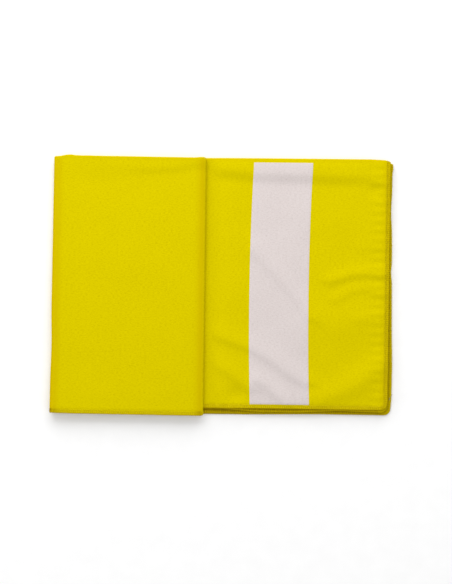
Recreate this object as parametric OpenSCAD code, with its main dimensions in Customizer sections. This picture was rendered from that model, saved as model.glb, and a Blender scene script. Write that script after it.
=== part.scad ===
// Hand towel with a white bar, folded lengthwise, then crosswise, then with its folded
// end turned over as a flap. The base lies flat and the flap lies on its left part.
// Origin: centre of the outline, at the underside. +X to the hemmed ends, +Y to the
// lengthwise fold, +Z up. Millimetres.

/* [Towel] */
// Length of the towel laid flat
towel_l = 975; // [880:5:1170]
// Width of the towel laid flat
towel_w = 510; // [400:5:620]
// Thickness of one layer of cloth
cloth_t = 1.2; // [0.9:0.1:1.6]
// Radius of the towel's rounded corners
corner_r = 7; // [6:0.5:20]

/* [Folding] */
// Length of the folded towel, from the turned fold to the lower ends
folded_l = 339; // [300:1:410]
// Air between two layers that lie on each other
layer_gap = 0.2; // [0.1:0.05:0.5]
// How far the lower ends reach past the upper ends
end_step = 2.5; // [2:0.5:10]
// Clearance between the flap's layers and the crease line that they turn about
turn_gap = 0.3; // [0.2:0.1:1]

/* [Edge seam] */
// Width of the overlocked edge
seam_w = 3.8; // [2.5:0.1:5]
// Thickness of the thread over the cloth
seam_t = 0.2; // [0.1:0.05:0.3]

/* [White bar] */
// Width of the bar
bar_w = 59; // [30:1:80]
// Depth of its white pile
bar_t = 0.4; // [0.2:0.1:0.5]
// Distance from the bar to the upper ends
bar_inset = 79; // [40:1:100]
// Distance from the bar to the outside of the lengthwise fold
bar_stop = 4.5; // [3:0.5:20]

/* [Thread tail] */
// Diameter of the loose thread end
tail_d = 0.5; // [0.3:0.1:0.8]
// Diameter of the knot that it leaves
knot_d = 1; // [0.9:0.1:1.5]
// Distance from the rounded corner to the knot
tail_inset = 7; // [2:1:60]
// How far the loose end lies along the edge
tail_lean = 3; // [0:0.5:10]

/* [Hidden] */
$fn = 48;
pitch = cloth_t + layer_gap; // from one layer to the next
fold_r = (pitch + cloth_t) / 2; // outside of a fold of two layers
tongue_t = cloth_t - 2 * seam_t; // cloth pressed flat inside the seam
past = 1; // how far a cut runs past the face that it opens

// Lengths that come from an arc are rounded to a hundredth, so that neighbours meet exactly
function rounded(length) = round(length * 100) / 100;

// Layers are counted from the table: 0 to 3 in the base, 4 to 7 in the flap.
// The lengthwise fold joins them in pairs
BASE = 4;
PAIR = 2;
function layer_z(layer) = layer * pitch;
function end_x(layer) = layer < PAIR ? lower_x : upper_x;

// The crease line that the flap turns about
turn_r = layer_z(BASE) - layer_gap / 2;
turn_z = turn_r;
turn_x = turn_r - folded_l / 2;
flap_x = turn_x + turn_gap;

// Ends of the lower and the upper pair of layers
lower_x = folded_l / 2;
upper_x = lower_x - end_step;

// The flap takes the length that the base and the folds leave. The middle of the lower
// pair goes round the turned fold at three layers' radius, that of the upper pair at one,
// and the crosswise fold is at one
arcs_l = PI * (3 * pitch + pitch + pitch);
flap_l = rounded((towel_l - (lower_x - turn_x) - (upper_x - turn_x) - arcs_l) / 2);
cross_x = turn_x + flap_l;
cross_z = turn_z + PAIR * pitch;

// Front edges and lengthwise fold
run_w = rounded((towel_w - PI * pitch / 2) / 2);
front_y = -(run_w + fold_r) / 2;
fold_y = front_y + run_w;

YELLOW = [0.90, 0.83, 0.02];
WHITE = [0.91, 0.88, 0.88];
THREAD = [0.84, 0.77, 0.03];
PALE = [0.86, 0.88, 0.62];

// ---- outlines of a layer, inset from its sewn edges ----

// `over` runs the folded sides past the layer, for a cut that has to open them
module base_outline(layer, inset, over = 0) {
    from_x = turn_x - over;
    to_x = end_x(layer);
    corner_x = to_x - corner_r;
    corner_y = front_y + corner_r;
    translate([from_x, corner_y]) square([to_x - inset - from_x, fold_y + over - corner_y]);
    translate([from_x, front_y + inset]) square([corner_x - from_x, corner_r]);
    translate([corner_x, corner_y]) circle(r = corner_r - inset);
}

module flap_outline(inset, over = 0) {
    translate([flap_x - over, front_y + inset])
        square([cross_x - flap_x + 2 * over, run_w - inset + over]);
}

// ---- folds: half rings of cloth ----

// Section of a fold that joins two layers `apart`, thinner by `trim` on both faces
module fold_section(apart, trim = 0) {
    outer = (apart + cloth_t) / 2 - trim;
    inner = (apart - cloth_t) / 2 + trim;
    difference() {
        circle(r = outer);
        circle(r = inner);
        translate([-outer - past, -outer - past]) square([outer + past, 2 * (outer + past)]);
    }
}

// A lengthwise fold above a layer, open towards -Y
module long_fold(layer, from_x, to_x, trim = 0) {
    z = layer_z(layer) + cloth_t + layer_gap / 2;
    translate([from_x, fold_y, z]) rotate([90, 0, 90])
        linear_extrude(to_x - from_x) fold_section(pitch, trim);
}

// The crosswise fold at the flap's free edge, open towards -X
module cross_fold(apart, from_y, to_y = fold_y, trim = 0) {
    translate([cross_x, to_y, cross_z]) rotate([90, 0, 0])
        linear_extrude(to_y - from_y) fold_section(apart, trim);
}

// ---- a layer's cloth, and the thread round it ----

// Full thickness, then a pressed tongue inside the seam. The children are the outline
// inset by the seam's width, and the outline inset by its thread
module layer_cloth(layer) {
    translate([0, 0, layer_z(layer)]) {
        linear_extrude(cloth_t) children(0);
        translate([0, 0, seam_t]) linear_extrude(tongue_t) children(1);
    }
}

// The children are the full outline, then both insets run past the folded sides
module layer_thread(layer) {
    translate([0, 0, layer_z(layer)]) difference() {
        linear_extrude(cloth_t) children(0);
        translate([0, 0, -past]) linear_extrude(cloth_t + 2 * past) children(1);
        translate([0, 0, seam_t]) linear_extrude(tongue_t) children(2);
    }
}

// ---- the base ----

module base_cloth(layer) {
    layer_cloth(layer) {
        base_outline(layer, seam_w);
        base_outline(layer, seam_t);
    }
}

module base_layer(layer) {
    color(YELLOW) base_cloth(layer);
}

// The upper layer, with a shallow bed for the bar's pile
module base_layer_striped() {
    color(YELLOW) difference() {
        base_cloth(BASE - 1);
        bar_block(past);
    }
}

// The bar's pile, with `above` more height when it cuts the bed
module bar_block(above = 0) {
    top_y = fold_y + fold_r - bar_stop;
    bar_y = front_y + seam_w;
    bar_z = layer_z(BASE - 1) + cloth_t - bar_t;
    translate([upper_x - bar_inset - bar_w, bar_y, bar_z])
        cube([bar_w, top_y - bar_y, bar_t + above]);
}

module white_bar() {
    color(WHITE) bar_block();
}

module base_fold_tongue(layer) {
    long_fold(layer, turn_x, end_x(layer) - seam_t, trim = seam_t);
}

module base_long_fold(layer) {
    color(YELLOW) {
        long_fold(layer, turn_x, end_x(layer) - seam_w);
        base_fold_tongue(layer);
    }
}

// Overlock thread round the front edge, the corner and the end of a base layer.
// The lower layer of a pair also holds the thread that goes over the lengthwise fold
module base_edge_seam(layer) {
    color(THREAD) {
        layer_thread(layer) {
            base_outline(layer, 0);
            base_outline(layer, seam_w, past);
            base_outline(layer, seam_t, past);
        }
        if (layer % PAIR == 0) difference() {
            long_fold(layer, end_x(layer) - seam_w, end_x(layer));
            base_fold_tongue(layer);
        }
    }
}

// ---- the turned fold, from the innermost ring out ----

module turned_fold(ring) {
    color(YELLOW) translate([turn_x, front_y, turn_z]) rotate([90, 0, 180])
        linear_extrude(run_w) fold_section((2 * ring - 1) * pitch);
}

// ---- the flap ----

module flap_layer(layer) {
    color(YELLOW) layer_cloth(layer) {
        flap_outline(seam_w);
        flap_outline(seam_t);
    }
}

module flap_long_fold(layer) {
    color(YELLOW) long_fold(layer, flap_x, cross_x);
}

module cross_fold_tongue(apart) {
    cross_fold(apart, front_y + seam_t, trim = seam_t);
}

module cross_fold_ring(apart) {
    color(YELLOW) {
        cross_fold(apart, front_y + seam_w);
        cross_fold_tongue(apart);
    }
}

module flap_front_thread(layer) {
    layer_thread(layer) {
        flap_outline(0);
        flap_outline(seam_w, past);
        flap_outline(seam_t, past);
    }
}

module flap_edge_seam(layer) {
    color(THREAD) flap_front_thread(layer);
}

// The flap's two lower seams also go round the crosswise fold
module turning_edge_seam(layer, apart) {
    color(THREAD) {
        flap_front_thread(layer);
        difference() {
            cross_fold(apart, front_y, front_y + seam_w);
            cross_fold_tongue(apart);
        }
    }
}

// ---- the loose thread end at the upper corner ----

// The knot sits on the upper edge and the end drops onto the lower edge
module thread_tail() {
    knot = [
        upper_x + knot_d / 2,
        front_y + corner_r + tail_inset,
        layer_z(BASE - 1) + cloth_t / 2
    ];
    reach = [
        lower_x - tail_d / 2 - knot[0],
        tail_lean,
        layer_z(1) + cloth_t + tail_d - knot[2]
    ];
    tilt = acos(reach[2] / norm(reach));
    color(PALE) translate(knot) {
        sphere(d = knot_d);
        rotate([0, tilt, atan2(reach[1], reach[0])]) cylinder(d = tail_d, h = norm(reach));
    }
}

base_layer(0);  // base_layer_1
base_layer(1);  // base_layer_2
base_layer(2);  // base_layer_3
base_layer_striped();  // base_layer_4
white_bar();
base_long_fold(0);  // base_long_fold_lower
base_long_fold(2);  // base_long_fold_upper
base_edge_seam(0);  // base_edge_seam_1
base_edge_seam(1);  // base_edge_seam_2
base_edge_seam(2);  // base_edge_seam_3
base_edge_seam(3);  // base_edge_seam_4
turned_fold(1);  // turned_fold_1
turned_fold(2);  // turned_fold_2
turned_fold(3);  // turned_fold_3
turned_fold(4);  // turned_fold_4
flap_layer(4);  // flap_layer_1
flap_layer(5);  // flap_layer_2
flap_layer(6);  // flap_layer_3
flap_layer(7);  // flap_layer_4
flap_long_fold(4);  // flap_long_fold_lower
flap_long_fold(6);  // flap_long_fold_upper
cross_fold_ring(pitch);  // cross_fold_inner
cross_fold_ring(3 * pitch);  // cross_fold_outer
turning_edge_seam(4, 3 * pitch);  // flap_edge_seam_1
turning_edge_seam(5, pitch);  // flap_edge_seam_2
flap_edge_seam(6);  // flap_edge_seam_3
flap_edge_seam(7);  // flap_edge_seam_4
thread_tail();
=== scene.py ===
import math
import bpy
import numpy as np
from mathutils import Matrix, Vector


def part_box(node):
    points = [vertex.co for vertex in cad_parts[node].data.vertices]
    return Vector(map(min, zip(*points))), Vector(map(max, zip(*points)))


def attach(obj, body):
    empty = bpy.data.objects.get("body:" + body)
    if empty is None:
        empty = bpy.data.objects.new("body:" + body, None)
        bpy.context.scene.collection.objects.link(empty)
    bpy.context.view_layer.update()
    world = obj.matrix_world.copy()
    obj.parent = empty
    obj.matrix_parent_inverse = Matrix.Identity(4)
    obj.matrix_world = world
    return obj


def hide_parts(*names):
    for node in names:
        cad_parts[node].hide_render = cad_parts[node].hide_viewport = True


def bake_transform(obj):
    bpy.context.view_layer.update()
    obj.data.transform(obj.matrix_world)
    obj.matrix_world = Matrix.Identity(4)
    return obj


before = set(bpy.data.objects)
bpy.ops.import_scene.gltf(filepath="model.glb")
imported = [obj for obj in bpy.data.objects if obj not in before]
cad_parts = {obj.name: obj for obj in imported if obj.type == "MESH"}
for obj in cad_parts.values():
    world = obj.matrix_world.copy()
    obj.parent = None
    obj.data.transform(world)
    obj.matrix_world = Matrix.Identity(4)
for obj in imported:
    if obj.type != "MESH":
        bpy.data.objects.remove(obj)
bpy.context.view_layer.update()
bpy.ops.object.select_all(action="DESELECT")
print("frame loaded")

mm = 0.001


# ---- where the folds are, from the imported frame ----

def boxOf(node):
    low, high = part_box(node)
    return np.array(low), np.array(high)


def middle(node, axis):
    low, high = boxOf(node)
    return (low[axis] + high[axis]) / 2


thick = boxOf("base_layer_1")[1][2] - boxOf("base_layer_1")[0][2]
pitch = boxOf("turned_fold_1")[1][2] - boxOf("turned_fold_1")[0][2] - thick  # layer to layer
turnX = boxOf("turned_fold_1")[1][0]
turnZ = middle("turned_fold_1", 2)
crossX = boxOf("cross_fold_inner")[0][0]
crossZ = middle("cross_fold_inner", 2)
upperX = boxOf("base_edge_seam_4")[1][0]
lowerX = boxOf("base_edge_seam_1")[1][0]
frontY = boxOf("turned_fold_1")[0][1]
foldY = boxOf("turned_fold_1")[1][1]

# The towel is folded lengthwise into a pair of layers, and the pair is laid in four runs.
# Each stretch: kind, x and z it starts at or turns about, direction or radius, side of the
# pair's first half, how much of the flap's turn it follows
baseRunLength = upperX - turnX
flapRunLength = crossX - turnX
lowerRunLength = lowerX - turnX
stretches = [
    ("run", baseRunLength, upperX, turnZ - pitch, -1, 1, 0),
    ("turnIn", math.pi * pitch, turnX, turnZ, pitch, 1, 0),
    ("run", flapRunLength, turnX, turnZ + pitch, 1, -1, 1),
    ("cross", math.pi * pitch, crossX, crossZ, pitch, 1, 1),
    ("run", flapRunLength, crossX, turnZ + 3 * pitch, -1, 1, 1),
    ("turnOut", 3 * math.pi * pitch, turnX, turnZ, 3 * pitch, -1, 1),
    ("run", lowerRunLength, turnX, turnZ - 3 * pitch, 1, -1, 0),
]
stretchEnds = np.cumsum([stretch[1] for stretch in stretches])
towelLength = float(stretchEnds[-1])
halfFlat = foldY - frontY                       # one half, without the lengthwise fold's arc
foldArc = math.pi * pitch / 2
towelWidth = 2 * halfFlat + foldArc
endRun, startFlap, endFlap, startTop, endTop, startLower = stretchEnds[:6]
print("towel %.3f x %.3f m" % (towelWidth, towelLength))


# ---- how the folded towel lies: edges that fan out, leans, and its relief ----

lie = {
    # distance along the towel: the front edge of the first half, of the second half, and
    # the middle of the lengthwise fold (millimetres from the origin)
    "frontFirst": [(0, -121.9), (116 * mm, -121.6), (184 * mm, -121.9), (endRun, -126.0),
                   (endFlap, -127.5),
                   (startTop, -129.6), (endTop - 20 * mm, -129.0), (endTop, -128.5),
                   (startLower, -128.5), (startLower + 190 * mm, -128.1),
                   (startLower + 260 * mm, -127.0), (towelLength, -127.2)],
    "frontSecond": [(0, -124.5), (50 * mm, -123.2), (90 * mm, -125.2), (130 * mm, -125.2),
                    (165 * mm, -122.6), (184 * mm, -122.6), (endRun, -126.8), (endFlap, -127.5),
                    (startTop, -129.0), (endTop, -128.2), (startLower, -127.6),
                    (towelLength, -126.5)],
    "crease": [(0, 125.0), (5 * mm, 126.6), (20 * mm, 127.3), (176 * mm, 126.6),
               (endRun, 126.4), (endFlap, 126.2), (startTop, 127.1),
               (startTop + 3 * mm, 127.1), (startTop + 9 * mm, 126.5),
               (endTop - 22 * mm, 127.0), (endTop - 16 * mm, 127.2),
               (endTop - 12 * mm, 127.8), (endTop - 8 * mm, 127.7), (endTop - 4 * mm, 126.9),
               (endTop, 126.1), (endTop + 3 * mm, 126.2),
               (startLower, 125.6), (towelLength - 60 * mm, 125.0), (towelLength, 123.3)],
    # thousandths that the cloth leans sideways for each unit towards the back
    "lean": [(0, 0), (endRun, 5.6), (startFlap, 5.6), (endFlap, -1.7), (startTop, -1.7),
             (endTop, 5.6), (startLower, 5.6), (towelLength, -9.5)],
    # sideways, in millimetres
    "shiftX": [(0, 0.2), (60 * mm, 0), (endRun, 0), (startFlap, 0), (endFlap, 0.4), (startTop, 0.4),
               (endTop, 0), (startLower, 0), (towelLength, 1.0)],
    # also sideways: where the upper run's middle bows, and where the dents tell
    "bow": [(0, 0), (60 * mm, 1), (150 * mm, 1), (endRun, 0)],
    "bowDepth": 2.2, "bowMiddle": -5, "bowReach": 116, "bowBack": 1.05,
    "ends": [(0, 0), (towelLength - 12 * mm, 0), (towelLength, 1)],
    "back": [(endTop - 25 * mm, 0), (endTop, 1), (startLower, 1), (startLower + 25 * mm, 0)],
    # the upper pair is puffed up from here on, and fans open by its front edge
    "loftFrom": (-19, 10), "loft": 1.9, "fan": 0.4, "fanY": (-124, -100), "fanX": (60, 110),
    "lowest": 0.03 * mm,
}
# dents in the lower end and in the turned edge: middle, half width and depth inwards
endDents = [(76, 15, -1.0), (16, 7, -0.9), (-75, 22, 0.5), (-122, 8, -0.9), (121, 5, 0.9)]
backDents = [(-62, 24, 0.8)]


def along(name, s):
    keys = lie[name]
    return np.interp(s, [key[0] for key in keys], [key[1] for key in keys]) * mm


def ease(value, low, high):
    t = np.clip((value - low) / (high - low), 0, 1)
    return t * t * (3 - 2 * t)


def crest(x, y, points, width, soft):
    # 1 along a line through the points, falling off beside it and past its ends: within
    # the width on its right, and the softer way that many times wider on its left
    nearest, side = np.full_like(x, 1e9), np.zeros_like(x)
    for (x0, y0), (x1, y1) in zip(points[:-1], points[1:]):
        dx, dy = x1 - x0, y1 - y0
        t = np.clip(((x - x0) * dx + (y - y0) * dy) / (dx * dx + dy * dy), 0, 1)
        away = (x - x0 - t * dx) ** 2 + (y - y0 - t * dy) ** 2
        left = ((y - y0) * dx - (x - x0) * dy) / math.hypot(dx, dy)
        side = np.where(away < nearest, left, side)
        nearest = np.minimum(nearest, away)
    across = np.sqrt(nearest) / (width * (1 + (soft - 1) * ease(side / width, -0.3, 1.0)))
    return np.exp(-across ** 2 / 2)


# all in millimetres: half width, how much softer the back is, height, and the points that
# the crest goes through
wrinkles = [
    (3.2, 2.4, 1.25, [(-14, -46), (8, -54), (31, -62), (51, -73.5), (71, -88), (86, -96)]),
    (3.6, 2.5, 1.05, [(31, 37), (46, 21), (62, 5), (78, -14), (89, -30)]),
    (4.0, 1.8, 1.30, [(-9, -75), (12, -88), (29, -101)]),
    (3.6, 1.6, 1.40, [(36, -92), (50, -102), (66, -116)]),
    (7.0, 1.3, 1.80, [(98, -113), (120, -104), (138, -95), (153, -84), (164, -76)]),
    (2.8, 2.0, 1.35, [(109, 6), (129, 13), (146, 14.5), (163, 14)]),
    (3.2, 1.5, 0.75, [(114, -12), (130, -3), (146, -0.5), (163, -6)]),
    (15.0, 1.0, 1.20, [(96, -36), (150, -32)]),
    (3.2, 1.5, 0.45, [(134, -32), (162, -28)]),
    (4.0, 1.5, 0.35, [(136, 40), (162, 44)]),
    (3.0, 1.3, 0.50, [(152, 108), (163, 103)]),
]
waves = [
    # wave length, direction in degrees, phase, height
    (61, 20, 0.4, 0.05), (47, 75, 1.9, 0.05), (83, 130, 3.1, 0.07), (37, 160, 4.4, 0.035),
    (29, 50, 5.2, 0.03), (21, 110, 0.9, 0.02),
]


# the upper run and the flap's top: where their valleys go, how deep, how wide, and what
# the cloth does near its edges, all in millimetres
panelShape = {
    "from": (-15, 2), "valleyX": [-16, 27, 94, 140, 170],
    "valleyY": [112.5, 108.1, 106.6, 106.0, 106.0], "valleySoft": (6, 7), "rise": 2.1,
    "riseFrom": (-26, -14), "fade": 0.55, "fadeX": (122, 156), "fall": 0.25,
    "fallY": (119, 128), "base": 0.5, "front": 0.75, "frontY": (-125, -104),
    "height": 5.4,
}
flapShape = {
    "valleyX": [-75, -50, -30], "valleyY": [113.5, 114.6, 119], "softX": [-110, -80],
    "soft": [14, 5], "depth": 0.95, "front": 0.30, "frontY": (-128, -104),
    "leftX": (-168, -138), "edge": 0.55, "edgeX": (-32, -17), "rippleShare": 0.8,
    "rippleX": (-160, -130), "height": 11.0,
}
# puckers beside the seams: height, wave length, middle, half width
endPuckers = (0.26, 9.3, 157, 7)
frontPuckers = (0.20, 11.0, -113, 5)
pits = [
    # depth, middle x, half width, middle y, half width
    (1.5, 16, 9, -108, 8), (0.9, 152, 7, 97, 5),
]


def relief(x, y):
    # how much higher or lower the top of the layers is there, and what it is a share of
    x, y = x / mm, y / mm
    shape = panelShape
    panel = ease(x, *shape["from"])
    valley = np.interp(x, shape["valleyX"], shape["valleyY"])
    below, above = shape["valleySoft"]
    rise = shape["rise"] * ease(y, valley - below, valley + above) * ease(x, *shape["riseFrom"])
    rise = rise * (1 - shape["fade"] * ease(x, *shape["fadeX"]))
    rise = rise * (1 - shape["fall"] * ease(y, *shape["fallY"])) - shape["base"]
    for width, soft, height, points in wrinkles:
        rise = rise + height * crest(x, y, points, width, soft)
    rise = rise - shape["front"] * (1 - ease(y, *shape["frontY"]))
    height, length, middleX, width = endPuckers
    rise = rise + height * np.sin(2 * math.pi * y / length) * np.exp(
        -((x - middleX) / width) ** 2)
    height, length, middleY, width = frontPuckers
    rise = rise + height * np.sin(2 * math.pi * x / length) * np.exp(
        -((y - middleY) / width) ** 2)
    for depth, middleX, widthX, middleY, widthY in pits:
        rise = rise - depth * np.exp(
            -((x - middleX) / widthX) ** 2 - ((y - middleY) / widthY) ** 2)
    shape = flapShape
    valley = np.interp(x, shape["valleyX"], shape["valleyY"])
    soft = np.interp(x, shape["softX"], shape["soft"])
    flap = -shape["depth"] + shape["depth"] * ease(y, valley - soft, valley + soft)
    flap = flap - shape["front"] * (1 - ease(y, *shape["frontY"]))
    flap = flap * ease(x, *shape["leftX"]) - shape["edge"] * ease(x, *shape["edgeX"])
    ripple = 0
    for length, turn, phase, size in waves:
        turn = math.radians(turn)
        ripple = ripple + size * np.sin(
            2 * math.pi * (x * math.cos(turn) + y * math.sin(turn)) / length + phase)
    rise = rise + ripple
    flap = flap + shape["rippleShare"] * ripple * ease(x, *shape["rippleX"])
    flap = np.minimum(flap, 0)
    return (flap / flapShape["height"]) * (1 - panel) + (rise / panelShape["height"]) * panel


def packLine(s):
    # The pair's middle at distance s along the towel: place, the way to its first half,
    # and how much of the flap's turn it follows
    x, z = np.zeros_like(s), np.zeros_like(s)
    wayX, wayZ, turn = np.zeros_like(s), np.zeros_like(s), np.zeros_like(s)
    starts = np.concatenate([[-np.inf], stretchEnds[:-1]])
    ends = np.concatenate([stretchEnds[:-1], [np.inf]])
    for index, (kind, length, x0, z0, step, side, share) in enumerate(stretches):
        here = (s >= starts[index]) & (s < ends[index])
        d = s[here] - (0 if index == 0 else stretchEnds[index - 1])
        if kind == "run":
            x[here], z[here] = x0 + step * d, z0
            wayX[here], wayZ[here], turn[here] = 0, side, share
            continue
        angle = d / step if kind != "turnOut" else math.pi - d / step
        sine, cosine = np.sin(angle), np.cos(angle)
        out = 1 if kind == "cross" else -1
        x[here], z[here] = x0 + out * step * sine, z0 - step * cosine
        if kind == "cross":
            wayX[here], wayZ[here], turn[here] = sine, -cosine, 1
        else:
            wayX[here], wayZ[here] = side * sine, side * cosine
            turn[here] = angle / math.pi
    return x, z, wayX, wayZ, turn


def foldCloth(a, b, h):
    # A point of the flat towel: a across it from its first long edge, b along it from its
    # upper end, h above the middle of the cloth. Gives its folded place and its turn share
    x, z, wayX, wayZ, turn = packLine(b)
    first = a <= halfFlat
    second = a >= halfFlat + foldArc
    angle = np.clip((a - halfFlat) / (pitch / 2), 0, math.pi)
    n, upY, upN = pitch / 2 * np.cos(angle), np.sin(angle), np.cos(angle)
    crease = along("crease", b)
    frontOne, frontTwo = along("frontFirst", b), along("frontSecond", b)
    y = crease + pitch / 2 * np.sin(angle)
    y = np.where(first, frontOne + a / halfFlat * (crease - frontOne), y)
    y = np.where(second, frontTwo + (towelWidth - a) / halfFlat * (crease - frontTwo), y)
    leanX = along("lean", b) * y + along("shiftX", b)
    leanX = leanX + along("bow", b) * (
        lie["bowDepth"] * ((y / mm - lie["bowMiddle"]) / lie["bowReach"]) ** 2
        - lie["bowBack"])
    for middleY, width, size in endDents:
        leanX = leanX + along("ends", b) * size * np.exp(-((y / mm - middleY) / width) ** 2)
    for middleY, width, size in backDents:
        leanX = leanX + along("back", b) * size * np.exp(-((y / mm - middleY) / width) ** 2)
    midX, midZ = x + wayX * n + leanX, z + wayZ * n
    lift = midZ * relief(midX, y)
    # the upper pair is puffed up off the lower pair, and its top layer a little more
    loft = ease(midX / mm, *lie["loftFrom"]) * (b < endRun)
    lift = lift + loft * (lie["loft"] + lie["fan"] * np.cos(angle) * (1 - ease(
        y / mm, *lie["fanY"])) * (1 - ease(midX / mm, *lie["fanX"]))) * mm
    # nothing sinks into the floor, with the flap laid down or turned open
    height = np.maximum(midZ + lift + wayZ * upN * h, lie["lowest"])
    height = np.where(turn >= 1, np.minimum(height, 2 * turnZ - lie["lowest"]), height)
    return np.stack([midX + wayX * upN * h, y + upY * h, height], -1), turn


# how far the painted shade reaches beside each hard fold: full within the first distance
# (mm), and gone over the second; and at the edges
paintedShadeReach = {
    "cross": (2.2, 7), "crossShare": 0.9, "crossInside": (1.2, 2.6), "crossLeast": 0.25,
    "turned": (1.5, 10.5), "long": (0.8, 2.0), "longShare": 0.55,
    "topRim": 0.8, "topRimTo": (-0.1 * mm, 0.5 * mm),
    "under": 0.7, "underTo": (0.6 * mm, 2.4 * mm),
    "endReach": 9 * mm, "endTop": 0.22, "endUnder": 0.5, "edgeTo": (6 * mm, 12 * mm),
    "seam": 0.9, "seamTo": (3.6 * mm, 4.2 * mm),
}


def openness(a, b, u):
    # 1 where a deeper tone is painted as shade: along the hard folds, on the rim
    # of each edge, and at the edges of the layers below the top one
    shadeSpan = paintedShadeReach

    def beside(away, fold):
        return 1 - np.clip((away / mm - shadeSpan[fold][0]) / shadeSpan[fold][1], 0, 1)

    away = abs(b - (startTop + endFlap) / 2)
    least = shadeSpan["crossLeast"]
    share = shadeSpan["crossShare"] * beside(away, "cross") * (
        least + (1 - least) * ease(away / mm, *shadeSpan["crossInside"]))
    share = np.maximum(share, beside(abs(b - (endTop + startLower) / 2), "turned"))
    share = np.maximum(share, shadeSpan["longShare"] * beside(
        abs(a - halfFlat - foldArc / 2), "long"))
    reach = 3 * mm
    top = (a < halfFlat) & ((b < endRun) | ((b > startTop - reach) & (b < endTop + reach)))
    rim = np.where(top, shadeSpan["topRim"] * (1 - ease(u, *shadeSpan["topRimTo"])),
                   shadeSpan["under"] + (1 - shadeSpan["under"]) * ease(u, *shadeSpan["underTo"]))
    atEnd = (np.minimum(b, towelLength - b) < shadeSpan["endReach"]) & (u < a)
    rim = np.where(atEnd & top, np.maximum(rim, shadeSpan["endTop"]), rim)
    rim = np.where(atEnd & ~top, shadeSpan["endUnder"] * rim, rim)
    return np.maximum(share, rim * (1 - ease(u, *shadeSpan["edgeTo"])))


def keepPaintedShade(piece, share):
    # stores the painted shade share on each point
    layer = piece.data.attributes.new("openness", "FLOAT", "POINT")
    layer.data.foreach_set("value", share.astype(np.float32))


def ridesFold(piece, places, turn):
    # Each point's share of the flap's turn is worked out and set as its place for a moment; the
    # piece's transform is baked in, and the places are put back
    spread = 0.5 - np.sin(np.arcsin(1 - 2 * np.clip(turn, 0, 1)) / 3)
    line = np.zeros_like(places)
    line[:, 0] = spread
    piece.data.vertices.foreach_set("co", line.astype(np.float32).ravel())
    piece.data.update()
    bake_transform(piece)
    piece.data.vertices.foreach_set("co", places.astype(np.float32).ravel())
    piece.data.update()


def makeMesh(name, places, faces, uv, material):
    mesh = bpy.data.meshes.new(name)
    mesh.from_pydata([tuple(place) for place in places.tolist()], [], faces)
    layer = mesh.uv_layers.new(name="flat")
    corner = np.zeros(len(mesh.loops), np.int32)
    mesh.loops.foreach_get("vertex_index", corner)
    layer.data.foreach_set("uv", uv[corner].astype(np.float32).ravel())
    mesh.materials.append(material)
    mesh.polygons.foreach_set("use_smooth", np.ones(len(mesh.polygons), bool))
    mesh.update()
    piece = bpy.data.objects.new(name, mesh)
    bpy.context.scene.collection.objects.link(piece)
    return piece


# ---- shader nodes ----

class Wire:
    # one socket of a material, which takes part in sums
    def __init__(self, finish, socket):
        self.finish, self.socket = finish, socket

    def sum(self, operation, first, second):
        return self.finish.node("ShaderNodeMath", {"operation": operation},
                                {0: first, 1: second})

    def __add__(self, other): return self.sum("ADD", self, other)
    def __radd__(self, other): return self.sum("ADD", other, self)
    def __sub__(self, other): return self.sum("SUBTRACT", self, other)
    def __rsub__(self, other): return self.sum("SUBTRACT", other, self)
    def __mul__(self, other): return self.sum("MULTIPLY", self, other)
    def __rmul__(self, other): return self.sum("MULTIPLY", other, self)


class Finish:
    # one material, whose nodes all come from node()
    def __init__(self, name):
        self.material = bpy.data.materials.new(name)
        self.material.use_nodes = True
        self.tree = self.material.node_tree
        self.tree.nodes.clear()
        self.output = self.tree.nodes.new("ShaderNodeOutputMaterial")

    def node(self, kind, settings=None, sockets=None, out=0):
        made = self.tree.nodes.new(kind)
        for key, value in (settings or {}).items():
            if key == "stops":
                ramp = made.color_ramp
                while len(ramp.elements) < len(value):
                    ramp.elements.new(0.5)
                for element, (position, colour) in zip(ramp.elements, value):
                    element.position, element.color = position, colour
            else:
                setattr(made, key, value)
        for key, value in (sockets or {}).items():
            if isinstance(value, Wire):
                self.tree.links.new(value.socket, made.inputs[key])
            else:
                made.inputs[key].default_value = value
        return Wire(self, made.outputs[out])

    def flat(self, scaleA=1.0, scaleB=1.0):
        spot = self.node("ShaderNodeUVMap", {"uv_map": "flat"})
        return self.node("ShaderNodeMapping", {}, {"Vector": spot, "Scale": (scaleA, scaleB, 1)})

    def open(self, colour, shadeTone):
        # painted shade: the colour goes to the deeper shade tone by the painted shade share
        share = self.node("ShaderNodeAttribute", {"attribute_name": "openness"}, {}, 2)
        return self.mix(share, colour, shadeTone)

    def noise(self, place, scale, detail=2.0, roughness=0.5, distortion=0.0):
        return self.node("ShaderNodeTexNoise", {}, {
            "Vector": place, "Scale": scale, "Detail": detail, "Roughness": roughness,
            "Distortion": distortion})

    def colours(self, factor, stops):
        return self.node("ShaderNodeValToRGB", {"stops": stops}, {"Fac": factor})

    def mix(self, factor, first, second):
        return self.node("ShaderNodeMix", {"data_type": "RGBA"},
                         {0: factor, 6: first, 7: second}, 2)

    def finish(self, colour, roughness, height=None, depth=0.0, strength=1.0, sheen=0.0,
               tint=(1, 1, 1, 1), specular=0.0, glow=0.0):
        sockets = {"Base Color": colour, "Roughness": roughness, "Sheen Weight": sheen,
                   "Sheen Roughness": 0.5, "Sheen Tint": tint,
                   "Specular IOR Level": specular, "Emission Strength": glow,
                   "Emission Color": (1, 1, 1, 1)}
        if height is not None:
            sockets["Normal"] = self.node("ShaderNodeBump", {}, {
                "Height": height, "Distance": depth, "Strength": strength})
        shader = self.node("ShaderNodeBsdfPrincipled", {}, sockets)
        self.tree.links.new(shader.socket, self.output.inputs["Surface"])
        return self.material


# both knits: the sizes of the pile, its clumps and its rows, and their shares of its height
pile = {
    "size": 1250.0, "clumpSize": 330.0, "rowSize": 900.0, "rowStretch": 0.45,
    "share": 0.54, "clumpShare": 0.05, "rowShare": 0.41,
    "depth": 0.00035, "strength": 0.5, "roughness": 0.98, "smoother": 0.1,
}


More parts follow.
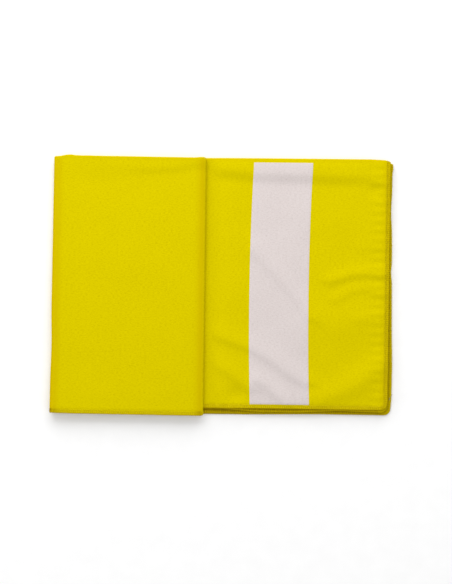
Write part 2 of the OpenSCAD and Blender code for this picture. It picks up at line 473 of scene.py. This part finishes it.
def knit(finish, settings):
    # short brushed loops in rows along the towel, as a height from 0 to 1, and the tone
    place = finish.flat()
    loops = finish.noise(place, pile["size"], 3.0, 0.6, 0.4)
    clumps = finish.noise(place, pile["clumpSize"], 2.0, 0.5)
    rows = finish.noise(finish.flat(1.0, pile["rowStretch"]), pile["rowSize"], 1.0, 0.4, 0.2)
    height = (loops * pile["share"] + clumps * pile["clumpShare"]
              + rows * pile["rowShare"])
    broad = finish.noise(finish.flat(), settings["broadSize"], 2.0)
    tone = height * (1 - settings["broadShare"]) + broad * settings["broadShare"]
    low, middle, high = settings["stops"]
    colour = finish.colours(tone, [
        (low, settings["deep"]), (middle, settings["body"]), (high, settings["bright"])])
    return height, colour


def finishKnit(finish, settings, height, colour):
    rough = pile["roughness"] - height * pile["smoother"]
    return finish.finish(colour, rough, height, pile["depth"], pile["strength"],
                         settings["sheen"], settings["tint"])


clothFinish = {
    "deep": (0.47, 0.37, 0, 1), "body": (0.60, 0.495, 0, 1), "bright": (0.66, 0.56, 0.0005, 1),
    # the deeper tone painted as shade at folds and edges
    "shadeTone": (0.52, 0.38, 0, 1), "stops": (0.26, 0.50, 0.74),
    "broadSize": 26.0, "broadShare": 0.06, "sheen": 0.05, "tint": (0.9, 0.8, 0, 1),
}


def yellowCloth():
    finish = Finish("brushedYellowKnit")
    height, colour = knit(finish, clothFinish)
    # painted shade at the hard folds, the rims and the lower layers' edges
    colour = finish.open(colour, clothFinish["shadeTone"])
    return finishKnit(finish, clothFinish, height, colour)


barFinish = {
    "deep": (0.50, 0.44, 0.425, 1), "body": (0.61, 0.545, 0.53, 1),
    "bright": (0.66, 0.60, 0.59, 1), "stops": (0.28, 0.50, 0.72),
    "broadSize": 40.0, "broadShare": 0.08, "sheen": 0.1, "tint": (0.95, 0.9, 0.9, 1),
}


def whiteCloth():
    finish = Finish("brushedWhiteKnit")
    height, colour = knit(finish, barFinish)
    return finishKnit(finish, barFinish, height, colour)


thread = {
    "turns": 1400.0, "fibreStretch": (900.0, 3.0), "fibreSize": 3.0,
    "plyShare": 0.7, "fibreShare": 0.3, "stops": (0.15, 0.5, 0.85),
    "roughness": 0.85, "smoother": 0.15, "depth": 0.00008, "strength": 0.7,
    "sheen": 0.1, "tint": (0.9, 0.8, 0.2, 1),
}


def threadFinish(name, deep, body, bright, shadeTone):
    # two plies twisted together: bands that run round the thread
    finish = Finish(name)
    run = finish.node("ShaderNodeSeparateXYZ", {}, {0: finish.flat()})
    across = Wire(finish, run.socket.node.outputs[1])
    phase = run * (thread["turns"] * 2 * math.pi) + across * (2 * math.pi)
    ply = finish.node("ShaderNodeMath", {"operation": "SINE"}, {0: phase}) * 0.5 + 0.5
    fibre = finish.noise(finish.flat(*thread["fibreStretch"]), thread["fibreSize"], 2.0)
    height = ply * thread["plyShare"] + fibre * thread["fibreShare"]
    colour = finish.colours(height, list(zip(thread["stops"], (deep, body, bright))))
    # painted shade at the hard folds, the rims and the lower layers' edges
    colour = finish.open(colour, shadeTone)
    rough = thread["roughness"] - ply * thread["smoother"]
    return finish.finish(colour, rough, height, thread["depth"], thread["strength"],
                         thread["sheen"], thread["tint"])


yellowKnit = yellowCloth()
whiteKnit = whiteCloth()
# the last colour of each thread is the deeper tone painted as shade
edgeThread = threadFinish("yellowThread", (0.50, 0.39, 0, 1), (0.70, 0.59, 0.001, 1),
                          (0.78, 0.68, 0.005, 1), (0.35, 0.225, 0, 1))
paleThread = threadFinish("paleThread", (0.16, 0.14, 0.06, 1), (0.32, 0.28, 0.14, 1),
                          (0.48, 0.43, 0.30, 1), (0.16, 0.14, 0.06, 1))
print("finishes made")


# ---- the towel's cloth ----

towel = {
    "cornerRadius": 7 * mm,
    "fine": 2.3 * mm, "coarse": 7 * mm,           # grid of the cloth, seen and unseen
    "longSteps": 8, "nearLong": (4 * mm, 1.2 * mm),   # rows on the lengthwise fold and by it
    "cornerAngles": (0, 15, 29, 42, 55, 67, 79), "leastGap": 0.2 * mm,
    # the hard folds: which stretch, the grid before it, rows on it; and rows close by
    "hardFolds": [(1, 7 * mm, 10), (3, 4.6 * mm, 10), (5, 3.68 * mm, 14)],
    "nearHard": (5 * mm, 2.2 * mm),
    "edgeRows": [0, 0.25, 0.8, 1.9, 3.0, 3.55, 3.95, 4.4, 5.4, 7.2],   # millimetres inwards
    "seamWidth": 3.8 * mm,
    "pressed": 0.37,          # half thickness under the seam, as a share of the whole
    # beside the seam the cloth swells to full thickness, over a low ridge
    "swell": 1.2 * mm, "ridge": 0.02, "ridgeAt": (0.6 * mm, 2 * mm, 7 * mm),
    "groove": 0.09, "grooveWidth": 0.35 * mm, "thinRim": 0.35, "rimWidth": 0.5 * mm,
    "fineTo": 186 * mm,       # the fine grid reaches under the flap's free edge
    "barFrom": upperX - boxOf("white_bar")[1][0], "barTo": upperX - boxOf("white_bar")[0][0],
}


def spaced(marks, step):
    # the marks, and even steps of about the wanted size between them
    places = [marks[0]]
    for low, high in zip(marks[:-1], marks[1:]):
        count = max(1, round((high - low) / step))
        places += [low + (high - low) * (i + 1) / count for i in range(count)]
    return places


def gridLines():
    edge = [row * mm for row in towel["edgeRows"]]
    arcSteps = [halfFlat + foldArc * i / towel["longSteps"]
                for i in range(towel["longSteps"] + 1)]
    nearFold = [halfFlat - gap for gap in towel["nearLong"]]
    first = edge + spaced([edge[-1], nearFold[0]], towel["fine"])[1:] + [nearFold[1]]
    second = edge + spaced([edge[-1], nearFold[0]], towel["coarse"])[1:] + [nearFold[1]]
    across = first + arcSteps + [towelWidth - place for place in reversed(second)]
    corner = towel["cornerRadius"]
    bends = [corner * (1 - math.cos(math.radians(angle))) for angle in towel["cornerAngles"]]
    ends = sorted(set(round(v, 7) for v in bends + edge))
    ends = [v for i, v in enumerate(ends) if i == 0 or v - ends[i - 1] > towel["leastGap"]]
    seen = [ends[-1], towel["barFrom"], towel["barTo"], towel["fineTo"]]
    alongIt = ends + spaced(seen, towel["fine"])[1:]
    far, near = towel["nearHard"]
    for index, step, count in towel["hardFolds"]:
        low, high = stretchEnds[index - 1], stretchEnds[index]
        alongIt += spaced([alongIt[-1], low - far], step)[1:]
        alongIt += [low - near] + [low + (high - low) * i / count for i in range(count + 1)]
        alongIt += [high + near, high + far]
    alongIt += spaced([alongIt[-1], towelLength - ends[-1]], towel["coarse"])[1:]
    alongIt += [towelLength - v for v in reversed(ends[:-1])]
    return np.array(across), np.array(alongIt)


def roundCorners(a, b):
    # pulls the grid in at the four corners, so that its outline is round there
    corner = towel["cornerRadius"]
    fromEnd = np.minimum(b, towelLength - b)
    inset = corner - np.sqrt(np.maximum(0, corner ** 2 - np.maximum(0, corner - fromEnd) ** 2))
    reach = 3 * corner
    fromSide = np.minimum(a, towelWidth - a)
    moved = np.where(fromSide < reach, inset + fromSide * (1 - inset / reach), fromSide)
    return np.where(a < towelWidth / 2, moved, towelWidth - moved)


def fromOutline(a, b):
    # distance in from the rounded outline
    corner = towel["cornerRadius"]
    side, end = np.minimum(a, towelWidth - a), np.minimum(b, towelLength - b)
    fromCurve = corner - np.hypot(np.maximum(0, corner - side), np.maximum(0, corner - end))
    inCorner = (side < corner) & (end < corner)
    return np.where(inCorner, fromCurve, np.minimum(side, end))


def halfThick(a, b):
    # the cloth's half thickness: pressed under the seam, a groove at its needle line
    u = fromOutline(a, b)
    seam = towel["seamWidth"]
    share = towel["pressed"] + (0.5 - towel["pressed"]) * ease(u, seam, seam + towel["swell"])
    low, top, high = (seam + step for step in towel["ridgeAt"])
    share = share + towel["ridge"] * ease(u, low, top) * (1 - ease(u, top, high))
    share = share - towel["groove"] * np.exp(-((u - seam) / towel["grooveWidth"]) ** 2)
    return thick * share * (1 - towel["thinRim"] * (1 - ease(u, 0, towel["rimWidth"])))


def closedSheet(rows, columns):
    # faces of a grid's front and back, and of the edge all round
    count = rows * columns
    index = np.arange(count).reshape(rows, columns)
    lowLeft, lowRight = index[:-1, :-1].ravel(), index[:-1, 1:].ravel()
    highLeft, highRight = index[1:, :-1].ravel(), index[1:, 1:].ravel()
    faces = np.stack([lowLeft, highLeft, highRight, lowRight], -1).tolist()
    faces += (np.stack([lowLeft, lowRight, highRight, highLeft], -1) + count).tolist()
    ring = np.concatenate([index[0, :-1], index[:-1, -1], index[-1, :0:-1], index[:0:-1, 0]])
    after = np.roll(ring, -1)
    return faces + np.stack([ring, after, after + count, ring + count], -1).tolist()


def makeTowel():
    across, alongIt = gridLines()
    b, a = np.meshgrid(alongIt, across)
    a = roundCorners(a, b)
    flatA, flatB = a.ravel(), b.ravel()
    half = halfThick(flatA, flatB)
    front, turn = foldCloth(flatA, flatB, half)
    back, _ = foldCloth(flatA, flatB, -half)
    places = np.concatenate([front, back])
    uv = np.stack([flatA, flatB], -1)
    piece = makeMesh("towelCloth", places, closedSheet(*a.shape), np.concatenate([uv, uv]),
                     yellowKnit)
    inset = fromOutline(flatA, flatB)
    # painted shadow of the seam's threads on the cloth under them
    seamShade = paintedShadeReach["seam"] * (1 - ease(inset, *paintedShadeReach["seamTo"]))
    share = np.maximum(openness(flatA, flatB, inset), seamShade)
    keepPaintedShade(piece, np.concatenate([share, share]))
    ridesFold(piece, places, np.concatenate([turn, turn]))
    return piece, across, alongIt


towelCloth, gridAcross, gridAlong = makeTowel()
print("towel cloth:", len(towelCloth.data.polygons), "faces")


# ---- the white bar ----

bar = {
    "stop": 4.5 * mm,       # from the outside of the lengthwise fold
    "seam": 4.1 * mm,       # from the front edge
    "sunk": 0.2 * mm, "proud": 0.06 * mm, "rim": 0.12 * mm,
    "rimProud": 0.01 * mm, "clear": 0.5 * mm,    # clear: no grid row this near an edge
    "overFold": 1.3 * mm,   # the fold's outside is this much past the half's edge
}


def makeBar():
    low, high = bar["seam"], halfFlat + bar["overFold"] - bar["stop"]
    rows = gridAcross[(gridAcross > low + bar["clear"]) & (gridAcross < high - bar["clear"])]
    rows = np.concatenate([[low, low + bar["rim"]], rows, [high - bar["rim"], high]])
    low, high = towel["barFrom"], towel["barTo"]
    columns = gridAlong[(gridAlong > low + bar["clear"]) & (gridAlong < high - bar["clear"])]
    columns = np.concatenate([[low, low + bar["rim"]], columns, [high - bar["rim"], high]])
    b, a = np.meshgrid(columns, rows)
    flatA, flatB = a.ravel(), b.ravel()
    half = halfThick(flatA, flatB)
    rim = np.ones(a.shape, bool)
    rim[1:-1, 1:-1] = False
    top = half + np.where(rim.ravel(), bar["rimProud"], bar["proud"])
    above, _ = foldCloth(flatA, flatB, top)
    below, _ = foldCloth(flatA, flatB, half - bar["sunk"])
    places = np.concatenate([above, below])
    uv = np.stack([flatA, flatB], -1)
    piece = makeMesh("whiteBar", places, closedSheet(*a.shape), np.concatenate([uv, uv]),
                     whiteKnit)
    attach(piece, "base")
    return piece


whiteBar = makeBar()
print("white bar made")


# ---- the overlocked edge ----

seam = {
    "stitch": 2.1 * mm, "seed": 4,
    "width": 0.27 * mm, "height": 0.15 * mm,         # half width and half height of a thread
    # how unevenly the stitches lie: along the edge, across it, and up from the cloth
    "strayAlong": 0.05, "strayAcross": 0.10, "strayUp": 0.03,
    "strayFrom": 2.5,                # only the ends further in than this stray across (mm)
}
# one stitch: share of its length, distance in from the edge, height (millimetres)
upperStitch = [
    (0.00, 3.75, 0.36), (0.12, 3.25, 0.60), (0.23, 2.1, 0.66), (0.31, 0.9, 0.64),
    (0.37, 0.10, 0.45), (0.43, -0.18, 0.05), (0.49, 0.10, 0.42), (0.52, 0.9, 0.62),
    (0.54, 2.1, 0.64), (0.60, 3.2, 0.60), (0.74, 3.75, 0.42), (0.87, 3.9, 0.36),
]
lowerStitch = [(step, inset, -height) for step, inset, height in upperStitch]
needleStitch = [
    (0.00, 3.75, -0.30), (0.06, 3.75, 0.15), (0.15, 3.75, 0.60), (0.38, 3.75, 0.70),
    (0.62, 3.75, 0.70), (0.85, 3.75, 0.60), (0.94, 3.75, 0.15),
]


def outlinePoint(v, u):
    # v along the towel's rounded outline, u in from it; also its whole length
    corner = towel["cornerRadius"]
    sides = [towelLength - 2 * corner, towelWidth - 2 * corner] * 2
    arc = math.pi / 2 * corner
    whole = sum(sides) + 4 * arc
    v = np.mod(v, whole)
    a, b = np.zeros_like(v), np.zeros_like(v)
    # each side: where it starts, the way along it, the way in; then the corner after it
    starts = [(0, corner), (corner, towelLength), (towelWidth, towelLength - corner),
              (towelWidth - corner, 0)]
    ways = [(0, 1), (1, 0), (0, -1), (-1, 0)]
    ins = [(1, 0), (0, -1), (-1, 0), (0, 1)]
    begun = 0
    for side, start, way, into in zip(sides, starts, ways, ins):
        here = (v >= begun) & (v < begun + side)
        d = v[here] - begun
        a[here] = start[0] + way[0] * d + into[0] * u[here]
        b[here] = start[1] + way[1] * d + into[1] * u[here]
        begun += side
        here = (v >= begun) & (v < begun + arc)
        angle = (v[here] - begun) / corner
        centreA = start[0] + way[0] * side + into[0] * corner
        centreB = start[1] + way[1] * side + into[1] * corner
        reach = corner - u[here]
        a[here] = centreA + reach * (-into[0] * np.cos(angle) + way[0] * np.sin(angle))
        b[here] = centreB + reach * (-into[1] * np.cos(angle) + way[1] * np.sin(angle))
        begun += arc
    return a, b, whole


def makeThread(name, stitch, sides, shift, finish):
    whole = outlinePoint(np.zeros(1), np.zeros(1))[2]
    count = round(whole / seam["stitch"])
    length = whole / count
    random = np.random.default_rng(seam["seed"])
    points = np.array(stitch)
    v = (np.arange(count)[:, None] + points[None, :, 0] + shift) * length
    u = np.repeat(points[None, :, 1] * mm, count, 0)
    h = np.repeat(points[None, :, 2] * mm, count, 0)
    v = v + random.normal(0, seam["strayAlong"], (count, 1)) * length * np.sin(
        math.pi * points[None, :, 0])
    u = u + random.normal(0, seam["strayAcross"], (count, 1)) * mm * (
        points[None, :, 1] > seam["strayFrom"])
    h = h * (1 + random.normal(0, seam["strayUp"], (count, 1)))
    path = np.stack([v.ravel(), u.ravel(), h.ravel()], -1)
    total = len(path)
    ahead, behind = np.roll(path, -1, 0), np.roll(path, 1, 0)
    ahead[-1, 0] += whole
    behind[0, 0] -= whole
    way = ahead - behind
    way /= np.linalg.norm(way, axis=1, keepdims=True)
    beside = np.cross(way, np.array([0.0, 0.0, 1.0]))
    beside /= np.maximum(np.linalg.norm(beside, axis=1, keepdims=True), 1e-9)
    above = np.cross(beside, way)
    angles = 2 * math.pi * np.arange(sides) / sides
    ring = (path[:, None, :] + seam["width"] * np.cos(angles)[None, :, None] * beside[:, None, :]
            + seam["height"] * np.sin(angles)[None, :, None] * above[:, None, :]).reshape(-1, 3)
    a, b, _ = outlinePoint(ring[:, 0], ring[:, 1])
    places, turn = foldCloth(a, b, ring[:, 2])
    index = np.arange(total * sides).reshape(total, sides)
    nextRing, nextSide = np.roll(index, -1, 0), np.roll(index, -1, 1)
    faces = np.stack([index, nextSide, np.roll(nextRing, -1, 1), nextRing], -1).reshape(-1, 4)
    gone = np.concatenate([[0], np.cumsum(np.linalg.norm(np.diff(path, axis=0), axis=1))])
    uv = np.stack([np.repeat(gone, sides), np.tile(np.arange(sides) / sides, total)], -1)
    piece = makeMesh(name, places, faces.tolist(), uv, finish)
    # painted shade on the threads at the hard folds, their rims and the lower layers' edges
    keepPaintedShade(piece, openness(a, b, ring[:, 1]))
    ridesFold(piece, places, turn)
    print(name, len(piece.data.polygons), "faces")
    return piece


upperLooper = makeThread("upperLooper", upperStitch, 5, 0.0, edgeThread)
lowerLooper = makeThread("lowerLooper", lowerStitch, 5, 0.4, edgeThread)
needleThread = makeThread("needleThread", needleStitch, 4, 0.2, edgeThread)


# ---- the loose thread end ----

tail = {
    "knotWinds": 2.5, "knotRadius": 0.42 * mm, "radius": 0.2 * mm, "sides": 8,
    "knotPoints": 26, "knotLength": 1.4, "knotTaper": 0.3, "knotOut": 0.1 * mm,
    "knotBack": 0.6 * mm, "freePoints": 16,
    # the free end: sideways, sideways as it curls, along, up in the middle, down at the tip
    "side": 0.2 * mm, "curl": 3.2 * mm, "reach": 5.2 * mm, "arch": 1.6 * mm, "drop": 0.8 * mm,
    "thinning": ([0, 3, 30], [0.7, 1, 0.9, 0.45]),
}


def makeTail():
    low, high = boxOf("thread_tail")
    knot = np.array([high[0] + tail["knotOut"], high[1] - tail["knotBack"],
                     (low[2] + high[2]) / 2])
    t = np.linspace(0, 1, tail["knotPoints"])
    turned = t * tail["knotWinds"] * 2 * math.pi
    winds = np.stack([
        knot[0] + tail["knotRadius"] * np.cos(turned) * (1 - tail["knotTaper"] * t),
        knot[1] + tail["knotRadius"] * (t - 0.5) * tail["knotLength"],
        knot[2] + tail["knotRadius"] * np.sin(turned)], -1)
    k = np.linspace(0, 1, tail["freePoints"])[1:]
    free = np.stack([
        winds[-1, 0] + tail["side"] * k + tail["curl"] * k ** 1.5,
        winds[-1, 1] + tail["reach"] * k,
        winds[-1, 2] + tail["arch"] * k * (1 - k) * 4 - tail["drop"] * k], -1)
    path = np.concatenate([winds, free])
    way = np.gradient(path, axis=0)
    way /= np.linalg.norm(way, axis=1, keepdims=True)
    beside = np.cross(way, np.array([0.13, 0.2, 0.97]))
    beside /= np.linalg.norm(beside, axis=1, keepdims=True)
    above = np.cross(beside, way)
    sides = tail["sides"]
    angles = 2 * math.pi * np.arange(sides) / sides
    at, share = tail["thinning"]
    reach = tail["radius"] * np.interp(np.arange(len(path)), at + [len(path) - 1], share)
    ring = (path[:, None, :] + reach[:, None, None] * (
        np.cos(angles)[None, :, None] * beside[:, None, :]
        + np.sin(angles)[None, :, None] * above[:, None, :])).reshape(-1, 3)
    index = np.arange(len(path) * sides).reshape(len(path), sides)
    faces = np.stack([index[:-1], np.roll(index, -1, 1)[:-1], np.roll(index, -1, 1)[1:],
                      index[1:]], -1).reshape(-1, 4).tolist()
    faces += [index[0][::-1].tolist(), index[-1].tolist()]
    gone = np.concatenate([[0], np.cumsum(np.linalg.norm(np.diff(path, axis=0), axis=1))])
    uv = np.stack([np.repeat(gone, sides), np.tile(np.arange(sides) / sides, len(path))], -1)
    piece = makeMesh("threadTail", ring, faces, uv, paleThread)
    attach(piece, "base")
    return piece


threadTail = makeTail()
print("loose thread end made")


# ---- floor, light and camera ----

studio = {
    "floorSize": 6.0, "floorTone": 0.84, "floorStep": 0.02, "floorGrain": 60.0,
    "floorRoughness": 0.9, "floorGlow": 0.05,
    "horizon": 0.55, "zenith": 0.90,
    "keyPlace": (-0.20, 1.45, 0.82), "keySize": (2.4, 1.5), "keyPower": 34.0,
    "sidePlace": (-1.60, 0.35, 0.36), "sideSize": (1.2, 0.4), "sidePower": 4.0,
    "cameraPlace": (0.0046, -0.0059, 1.5), "cameraTurn": 0.8, "lens": 92.2,
}


def makeStudio():
    bpy.ops.mesh.primitive_plane_add(size=studio["floorSize"], location=(0, 0, 0))
    floor = bpy.context.object
    floor.name = "floor"
    finish = Finish("paleFloor")
    grain = finish.noise(finish.node("ShaderNodeTexCoord", {}, {}, 3), studio["floorGrain"], 3.0)
    low, high = studio["floorTone"], studio["floorTone"] + studio["floorStep"]
    colour = finish.colours(grain, [(0.3, (low, low, low, 1)), (0.7, (high, high, high, 1))])
    floor.data.materials.append(finish.finish(colour, studio["floorRoughness"],
                                              glow=studio["floorGlow"]))

    # white all round, brighter overhead than near the horizon
    world = bpy.data.worlds.new("softWhite")
    bpy.context.scene.world = world
    world.use_nodes = True
    nodes, links = world.node_tree.nodes, world.node_tree.links
    way = nodes.new("ShaderNodeTexCoord")
    height = nodes.new("ShaderNodeSeparateXYZ")
    ramp = nodes.new("ShaderNodeValToRGB")
    for element, tone in zip(ramp.color_ramp.elements, (studio["horizon"], studio["zenith"])):
        element.color = (tone, tone, tone, 1)
    links.new(way.outputs["Generated"], height.inputs[0])
    links.new(height.outputs[2], ramp.inputs["Fac"])
    links.new(ramp.outputs["Color"], nodes["Background"].inputs["Color"])

    for name in ("key", "side"):
        bpy.ops.object.light_add(type="AREA", location=studio[name + "Place"])
        light = bpy.context.object
        light.name = name + "Light"
        light.data.shape = "RECTANGLE"
        light.data.size, light.data.size_y = studio[name + "Size"]
        light.data.energy = studio[name + "Power"]
        x, y, z = studio[name + "Place"]
        light.rotation_euler = (math.atan2(math.hypot(x, y), z), 0,
                                math.atan2(y, x) + math.pi / 2)

    bpy.ops.object.camera_add(location=studio["cameraPlace"],
                              rotation=(0, 0, math.radians(studio["cameraTurn"])))
    camera = bpy.context.object
    camera.data.lens = studio["lens"]
    camera.data.sensor_width = 36
    camera.data.clip_end = 20
    bpy.context.scene.camera = camera
    bpy.context.scene.view_settings.view_transform = "Standard"
    return floor


floor = makeStudio()
print("studio made")

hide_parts(*[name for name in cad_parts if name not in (
    "thread_tail", "white_bar") and "seam" not in name])
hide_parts("white_bar")
seamNodes = [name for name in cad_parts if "seam" in name]
for piece in (upperLooper, lowerLooper, needleThread):
    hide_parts(*seamNodes)
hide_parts("thread_tail")

print("done")
